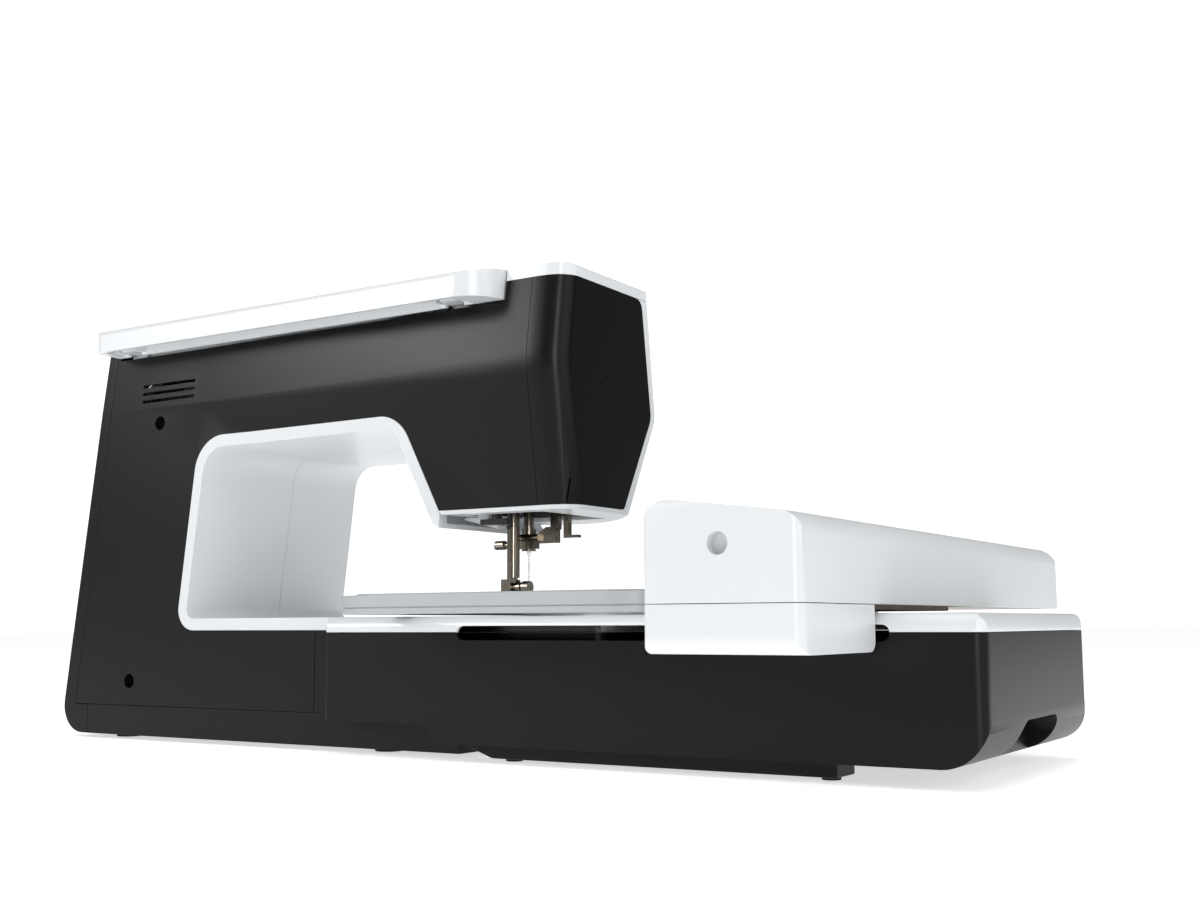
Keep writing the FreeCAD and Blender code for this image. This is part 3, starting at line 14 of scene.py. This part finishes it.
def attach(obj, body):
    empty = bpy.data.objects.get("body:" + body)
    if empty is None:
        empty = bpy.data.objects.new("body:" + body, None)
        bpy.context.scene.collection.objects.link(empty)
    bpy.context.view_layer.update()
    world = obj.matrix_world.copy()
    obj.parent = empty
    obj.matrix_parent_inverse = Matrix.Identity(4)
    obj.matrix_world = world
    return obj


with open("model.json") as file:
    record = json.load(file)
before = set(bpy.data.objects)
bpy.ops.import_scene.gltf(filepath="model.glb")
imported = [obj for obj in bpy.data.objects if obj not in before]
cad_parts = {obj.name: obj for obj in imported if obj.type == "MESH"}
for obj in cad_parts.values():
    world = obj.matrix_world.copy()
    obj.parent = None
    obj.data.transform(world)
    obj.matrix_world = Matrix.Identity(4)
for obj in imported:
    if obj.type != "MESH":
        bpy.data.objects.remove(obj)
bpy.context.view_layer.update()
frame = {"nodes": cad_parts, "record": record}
nodes = frame["nodes"]
MM = 0.001
WHITE = (1, 1, 1, 1)

# ---------------------------------------------------------------- material parts


def new_material(name):
    material = bpy.data.materials.new(name)
    material.use_nodes = True
    tree = material.node_tree
    return material, tree, tree.nodes["Principled BSDF"]


def noise(tree, scale, detail=3.0):
    """Noise in object space, so it stays on a piece that moves."""
    coords = tree.nodes.new("ShaderNodeTexCoord")
    texture = tree.nodes.new("ShaderNodeTexNoise")
    texture.inputs["Scale"].default_value = scale
    texture.inputs["Detail"].default_value = detail
    tree.links.new(coords.outputs["Object"], texture.inputs["Vector"])
    return texture.outputs["Fac"]


def spread(tree, source, low, high):
    """Map a noise value, which mostly lies from 0.3 to 0.7, onto a small range."""
    mapped = tree.nodes.new("ShaderNodeMapRange")
    mapped.inputs["From Min"].default_value = 0.3
    mapped.inputs["From Max"].default_value = 0.7
    mapped.inputs["To Min"].default_value = low
    mapped.inputs["To Max"].default_value = high
    tree.links.new(source, mapped.inputs["Value"])
    return mapped.outputs["Result"]


def tint(tree, source, first, second):
    """Blend from one colour to another over the middle of a noise value's range."""
    ramp = tree.nodes.new("ShaderNodeValToRGB")
    for element, position, colour in zip(ramp.color_ramp.elements, (0.35, 0.65), (first, second)):
        element.position = position
        element.color = (*colour, 1)
    tree.links.new(source, ramp.inputs["Fac"])
    return ramp.outputs["Color"]


def shade(colour, amount):
    return tuple(min(1.0, max(0.0, part * amount)) for part in colour)


def mottle(tree, shader, colour, scale, darker, lighter):
    """Vary the base colour softly between two shades of one colour."""
    varied = tint(tree, noise(tree, scale), shade(colour, darker), shade(colour, lighter))
    tree.links.new(varied, shader.inputs["Base Color"])


def uneven_sheen(tree, shader, source, smoothest, roughest):
    tree.links.new(spread(tree, source, smoothest, roughest), shader.inputs["Roughness"])


def bump(tree, shader, source, strength, distance):
    node = tree.nodes.new("ShaderNodeBump")
    node.inputs["Strength"].default_value = strength
    node.inputs["Distance"].default_value = distance
    tree.links.new(source, node.inputs["Height"])
    tree.links.new(node.outputs["Normal"], shader.inputs["Normal"])


# ---------------------------------------------------------------- finishes

GRAIN_HEIGHT = 0.2 * MM
SCRATCH_HEIGHT = 0.08 * MM
ACRYLIC_IOR = 1.49
SHELL_WHITE = (0.76, 0.785, 0.80)
# Black painted on as the shadow inside the module behind the carriage slot.
SHADOW_BLACK = (0.006, 0.006, 0.006, 1)
# The inside of the module behind the carriage slot, where the white is painted over in shadow black, as a
# box's two corners.
SLOT_SHADE_LOW = (-0.320, 0.1056, -0.0016)
SLOT_SHADE_HIGH = (0.060, 0.1312, 0.0816)


def plastic(name, colour, rough, grain=1500, depth=0.12, specular=0.5):
    """Moulded plastic: faint mottling, a fine uneven sheen and a spark-eroded grain."""
    material, tree, shader = new_material(name)
    mottle(tree, shader, colour, 14, 0.985, 1.012)
    uneven_sheen(tree, shader, noise(tree, 900), rough * 0.97, rough * 1.03)
    bump(tree, shader, noise(tree, grain, 2), depth, GRAIN_HEIGHT)
    shader.inputs["Specular IOR Level"].default_value = specular
    return material


def metal(name, colour, rough, scale=900, depth=0.15):
    """Ground, plated or cast metal with a fine broken sheen."""
    material, tree, shader = new_material(name)
    mottle(tree, shader, colour, 60, 0.94, 1.05)
    scratches = noise(tree, scale, 4)
    uneven_sheen(tree, shader, scratches, rough * 0.75, rough * 1.3)
    bump(tree, shader, scratches, depth, SCRATCH_HEIGHT)
    shader.inputs["Metallic"].default_value = 1.0
    return material


def clear(name, colour, rough, transmission):
    """Glassy plastic, which is see-through as far as its transmission says."""
    material, tree, shader = new_material(name)
    mottle(tree, shader, colour, 20, 0.97, 1.0)
    uneven_sheen(tree, shader, noise(tree, 60), rough * 0.8, rough * 1.2)
    shader.inputs["Transmission Weight"].default_value = transmission
    shader.inputs["IOR"].default_value = ACRYLIC_IOR
    return material


def multiply(tree, first, second):
    product = tree.nodes.new("ShaderNodeMath")
    product.operation = "MULTIPLY"
    tree.links.new(first, product.inputs[0])
    tree.links.new(second, product.inputs[1])
    return product.outputs[0]


def inside_box(tree, low, high):
    """A value that is 1 inside a box in the piece's own coordinates and 0 outside it."""
    coords = tree.nodes.new("ShaderNodeTexCoord")
    axes = tree.nodes.new("ShaderNodeSeparateXYZ")
    tree.links.new(coords.outputs["Object"], axes.inputs["Vector"])
    inside = None
    for axis, start, end in zip("XYZ", low, high):
        within = tree.nodes.new("ShaderNodeMath")
        within.operation = "COMPARE"
        within.inputs[1].default_value = (start + end) / 2
        within.inputs[2].default_value = (end - start) / 2
        tree.links.new(axes.outputs[axis], within.inputs[0])
        inside = within.outputs[0] if inside is None else multiply(tree, inside, within.outputs[0])
    return inside


def colour_socket(sockets, name):
    """A mix node's colour socket, which shares its name with sockets of other types."""
    return next(entry for entry in sockets if entry.name == name and entry.type == "RGBA")


def module_plastic(name, colour):
    """The module's white, with the inside behind the carriage slot painted shadow black."""
    material = plastic(name, colour, 0.30, grain=700, depth=0.02)
    tree = material.node_tree
    base_colour = tree.nodes["Principled BSDF"].inputs["Base Color"]
    shaded = tree.nodes.new("ShaderNodeMix")
    shaded.data_type = "RGBA"
    tree.links.new(inside_box(tree, SLOT_SHADE_LOW, SLOT_SHADE_HIGH), shaded.inputs["Factor"])
    tree.links.new(base_colour.links[0].from_socket, colour_socket(shaded.inputs, "A"))
    # Painted shadow: black inside the box behind the carriage slot.
    colour_socket(shaded.inputs, "B").default_value = SHADOW_BLACK
    tree.links.new(colour_socket(shaded.outputs, "Result"), base_colour)
    return material


SLOTS = {
    "shell_black": plastic("satin_black", (0.0040, 0.0040, 0.0043), 0.34, specular=0.17),
    "shell_white": plastic("satin_white", SHELL_WHITE, 0.30, grain=700, depth=0.02),
    "hoop_grey": plastic("hoop_grey", (0.44, 0.465, 0.48), 0.36, depth=0.08),
    "control_black": plastic("control_black", (0.016, 0.016, 0.017), 0.36),
    "control_white": plastic("control_white", (0.76, 0.78, 0.79), 0.32),
    "clear_plastic": clear("clear_plastic", (0.86, 0.89, 0.9), 0.12, 0.85),
    "display": clear("display_glass", (0.010, 0.011, 0.013), 0.08, 0.0),
    "steel": metal("ground_steel", (0.23, 0.20, 0.165), 0.20, depth=0.05),
    "needle_steel": metal("plated_steel", (0.66, 0.64, 0.60), 0.16),
    "cast_aluminium": metal("cast_aluminium", (0.60, 0.61, 0.62), 0.48, scale=400, depth=0.4),
    "bush_bronze": metal("bush_bronze", (0.55, 0.37, 0.17), 0.34),
    "motor_paint": plastic("motor_paint", (0.03, 0.03, 0.032), 0.45, grain=700, depth=0.3),
    "rubber": plastic("rubber", (0.018, 0.018, 0.018), 0.72, grain=900, depth=0.4, specular=0.3),
    "board_green": plastic("solder_mask", (0.012, 0.09, 0.035), 0.35, grain=500, depth=0.2),
}
# Nodes that look unlike the rest of their slot.
OWN_FINISH = {
    "module_top": module_plastic("module_white", SHELL_WHITE),
    "arm_rail": metal("dark_bronze", (0.16, 0.13, 0.10), 0.38),
    "lid_hinges": plastic("hinge_enamel", (0.55, 0.575, 0.59), 0.38),
}

# ---------------------------------------------------------------- edges and shading

WELD_REACH = 0.02 * MM
FLAT_TURN = math.radians(0.4)
BEVEL_TURN = math.radians(32)
SHARP_TURN = math.radians(33)
BEVEL_STEPS = 3
FACE_AREA_WEIGHT = 80
# How far each node's edges are rounded off, in millimetres.
PLAIN_EDGE = 0.3
SOFT_EDGES = {
    "arm_upper_shell": 1.8, "arm_lower_shell": 1.4, "lid": 1.5, "module_top": 0.6, "module_base": 0.7,
    "rear_cover": 0.6, "front_cover": 0.8, "end_cover": 0.8, "side_cover": 0.8, "base_pan": 0.5,
    "throat_liner_rear": 1.2, "throat_liner_front": 1.2, "top_cover": 1.1, "free_arm_cover": 0.8,
    "hoop_outer": 0.8, "hoop_inner": 0.8, "module_skids": 0.8, "handwheel": 0.6,
}


def smoothing_group():
    """Shade gentle turns smooth and keep turns past the limit sharp."""
    group = bpy.data.node_groups.new("smooth_turns", "GeometryNodeTree")
    group.interface.new_socket("Geometry", in_out="INPUT", socket_type="NodeSocketGeometry")
    group.interface.new_socket("Geometry", in_out="OUTPUT", socket_type="NodeSocketGeometry")
    entry = group.nodes.new("NodeGroupInput")
    result = group.nodes.new("NodeGroupOutput")
    faces = group.nodes.new("GeometryNodeSetShadeSmooth")
    faces.domain = "FACE"
    faces.inputs["Shade Smooth"].default_value = True
    edges = group.nodes.new("GeometryNodeSetShadeSmooth")
    edges.domain = "EDGE"
    edges.inputs["Shade Smooth"].default_value = False
    turn = group.nodes.new("GeometryNodeInputMeshEdgeAngle")
    past = group.nodes.new("ShaderNodeMath")
    past.operation = "GREATER_THAN"
    past.inputs[1].default_value = SHARP_TURN
    group.links.new(turn.outputs["Unsigned Angle"], past.inputs[0])
    group.links.new(past.outputs[0], edges.inputs["Selection"])
    group.links.new(entry.outputs["Geometry"], faces.inputs["Geometry"])
    group.links.new(faces.outputs["Geometry"], edges.inputs["Geometry"])
    group.links.new(edges.outputs["Geometry"], result.inputs["Geometry"])
    return group


def soften(piece, width):
    """Round off a piece's edges and return the modifier, so that a caller can refine it."""
    bevel = piece.modifiers.new("bevel", "BEVEL")
    bevel.width = width
    bevel.segments = BEVEL_STEPS
    bevel.limit_method = "ANGLE"
    return bevel


def finish_node(name, material, edge):
    """Give a CAD node its material and soften its edges."""
    node = nodes[name]
    node.data.materials.clear()
    node.data.materials.append(material)
    weld = node.modifiers.new("weld", "WELD")
    weld.merge_threshold = WELD_REACH
    flat = node.modifiers.new("flat", "DECIMATE")
    flat.decimate_type = "DISSOLVE"
    flat.angle_limit = FLAT_TURN
    bevel = soften(node, edge)
    bevel.angle_limit = BEVEL_TURN
    bevel.use_clamp_overlap = True
    bevel.miter_outer = "MITER_ARC"
    bevel.harden_normals = False
    turns = node.modifiers.new("turns", "NODES")
    turns.node_group = smooth_turns
    normals = node.modifiers.new("normals", "WEIGHTED_NORMAL")
    normals.keep_sharp = True
    normals.weight = FACE_AREA_WEIGHT


smooth_turns = smoothing_group()
slot_of = {entry["node"]: entry["material_slot"] for entry in frame["record"]["subparts"]}
for name in nodes:
    finish_node(name, OWN_FINISH.get(name) or SLOTS[slot_of[name]], SOFT_EDGES.get(name, PLAIN_EDGE) * MM)

# ---------------------------------------------------------------- plate under the arm

CORNER = 5 * MM
CORNER_STEPS = 6
PLATE_EDGE = 0.6 * MM
PLATE_FRONT = 10 * MM


def box_of(name):
    """A CAD node's box at rest, as its low and high corners."""
    points = [nodes[name].matrix_world @ vertex.co for vertex in nodes[name].data.vertices]
    low = Vector([min(point[axis] for point in points) for axis in range(3)])
    high = Vector([max(point[axis] for point in points) for axis in range(3)])
    return low, high


def rounded_rectangle(left, right, front, back):
    """The outline's points, anticlockwise, with a quarter circle at each corner."""
    outline = []
    for x, y, start in ((right, back, 0), (left, back, 90), (left, front, 180), (right, front, 270)):
        centre_x = x - math.copysign(CORNER, x - (left + right) / 2)
        centre_y = y - math.copysign(CORNER, y - (front + back) / 2)
        for step in range(CORNER_STEPS + 1):
            turn = math.radians(start + 90 * step / CORNER_STEPS)
            outline.append((centre_x + CORNER * math.cos(turn), centre_y + CORNER * math.sin(turn)))
    return outline


def arm_belly():
    """The dark slide plate on the underside of the arm, over the module's top."""
    arm_low, arm_high = box_of("arm_lower_shell")
    upper_low = box_of("arm_upper_shell")[0]
    deck_high = box_of("module_top")[1]
    low = deck_high.z + 1.6 * MM
    high = upper_low.z + 0.85 * MM
    outline = rounded_rectangle(
        arm_low.x + 2.5 * MM, arm_high.x - 3 * MM, PLATE_FRONT, deck_high.y - 1.5 * MM)
    form = bmesh.new()
    underside = form.faces.new([form.verts.new((x, y, low)) for x, y in outline])
    raised = bmesh.ops.extrude_face_region(form, geom=[underside])["geom"]
    corners = [item for item in raised if isinstance(item, bmesh.types.BMVert)]
    bmesh.ops.translate(form, vec=(0, 0, high - low), verts=corners)
    bmesh.ops.recalc_face_normals(form, faces=form.faces)
    mesh = bpy.data.meshes.new("arm_belly")
    form.to_mesh(mesh)
    form.free()
    plate = bpy.data.objects.new("arm_belly", mesh)
    bpy.context.scene.collection.objects.link(plate)
    soften(plate, PLATE_EDGE)
    mesh.materials.append(OWN_FINISH["arm_rail"])
    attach(plate, "arm")


arm_belly()

# ---------------------------------------------------------------- studio

ROOM = 0.43
ROOM_IN_GLOSS = 0.16
BACKDROP = 1.2
FLOOR_GLOW = 0.62
FLOOR_ROUGHNESS = 0.6
FLOOR_REACH = 14
FLOOR_SQUARES = 8


def stage_floor():
    """A wide pale floor that glows a little, so it meets the backdrop without a line."""
    mesh = bpy.data.meshes.new("floor")
    form = bmesh.new()
    bmesh.ops.create_grid(form, x_segments=FLOOR_SQUARES, y_segments=FLOOR_SQUARES, size=FLOOR_REACH)
    form.to_mesh(mesh)
    form.free()
    floor = bpy.data.objects.new("floor", mesh)
    bpy.context.scene.collection.objects.link(floor)
    material, tree, shader = new_material("studio_floor")
    paper = tint(tree, noise(tree, 0.6), (0.93, 0.93, 0.935), (0.95, 0.95, 0.955))
    tree.links.new(paper, shader.inputs["Base Color"])
    shader.inputs["Roughness"].default_value = FLOOR_ROUGHNESS
    shader.inputs["Emission Color"].default_value = WHITE
    shader.inputs["Emission Strength"].default_value = FLOOR_GLOW
    mesh.materials.append(material)


def soft_light(name, place, target, size, watts, gloss_only=False):
    """A rectangular lamp that faces a point, or one that shows only in reflections."""
    lamp = bpy.data.lights.new(name, "AREA")
    lamp.shape = "RECTANGLE"
    lamp.size, lamp.size_y = size
    lamp.energy = watts
    holder = bpy.data.objects.new(name, lamp)
    holder.location = place
    holder.visible_diffuse = not gloss_only
    holder.rotation_euler = (Vector(target) - Vector(place)).to_track_quat("-Z", "Y").to_euler()
    bpy.context.scene.collection.objects.link(holder)


def white_light(node, strength):
    node.inputs["Color"].default_value = WHITE
    node.inputs["Strength"].default_value = strength
    return node.outputs["Background"]


def pick(tree, test, otherwise, chosen):
    """One shader where the test is 1 and another where it is 0."""
    mix = tree.nodes.new("ShaderNodeMixShader")
    tree.links.new(test, mix.inputs["Fac"])
    tree.links.new(otherwise, mix.inputs[1])
    tree.links.new(chosen, mix.inputs[2])
    return mix.outputs["Shader"]


def white_room():
    """A dim even room, dimmer still in reflections, and a white backdrop for the camera."""
    world = bpy.data.worlds.new("studio")
    world.use_nodes = True
    tree = world.node_tree
    rays = tree.nodes.new("ShaderNodeLightPath")
    room = white_light(tree.nodes["Background"], ROOM)
    dark_room = white_light(tree.nodes.new("ShaderNodeBackground"), ROOM_IN_GLOSS)
    backdrop = white_light(tree.nodes.new("ShaderNodeBackground"), BACKDROP)
    reflected = pick(tree, rays.outputs["Is Glossy Ray"], room, dark_room)
    seen = pick(tree, rays.outputs["Is Camera Ray"], reflected, backdrop)
    tree.links.new(seen, tree.nodes["World Output"].inputs["Surface"])
    bpy.context.scene.world = world


bpy.context.scene.view_settings.view_transform = "Standard"
stage_floor()
white_room()
soft_light("over", (0.1, 0.3, 1.9), (0, 0, 0.05), (2.2, 1.8), 22)
soft_light("crease_sheen", (1.42, 1.72, 1.06), (0, 0.12, 0.24), (0.7, 0.8), 24, gloss_only=True)
soft_light("corner_sheen", (-1.25, 1.72, 0.72), (-0.09, 0.11, 0.22), (0.3, 1.3), 20, gloss_only=True)
soft_light("back_left", (1.5, 1.7, 1.0), (0.1, 0, 0.12), (0.9, 1.3), 6)
soft_light("head_side", (-1.9, 0.5, 0.9), (-0.1, 0, 0.1), (0.9, 1.3), 7)

# ---------------------------------------------------------------- camera

SENSOR_MM = 36
LENS_MM = 41.88
FARTHEST = 60
PLACE = (-0.5415, 0.788, 0.0793)
# Degrees: the way it faces, anticlockwise from +Y, then its tilt upwards and its roll.
HEADING = -147.9933
TILT = 7.0907
ROLL = -0.238


def place_camera():
    """Stand the camera low behind the machine, off its left rear corner."""
    camera = bpy.data.cameras.new("camera")
    camera.sensor_width = SENSOR_MM
    camera.lens = LENS_MM
    camera.clip_end = FARTHEST
    viewer = bpy.data.objects.new("camera", camera)
    aim = Euler((math.radians(90 + TILT), 0, math.radians(HEADING))).to_matrix().to_4x4()
    viewer.matrix_world = Matrix.Translation(PLACE) @ aim @ Matrix.Rotation(math.radians(ROLL), 4, "Z")
    bpy.context.scene.collection.objects.link(viewer)
    bpy.context.scene.camera = viewer


place_camera()

# ---------------------------------------------------------------- final update

bpy.context.view_layer.update()
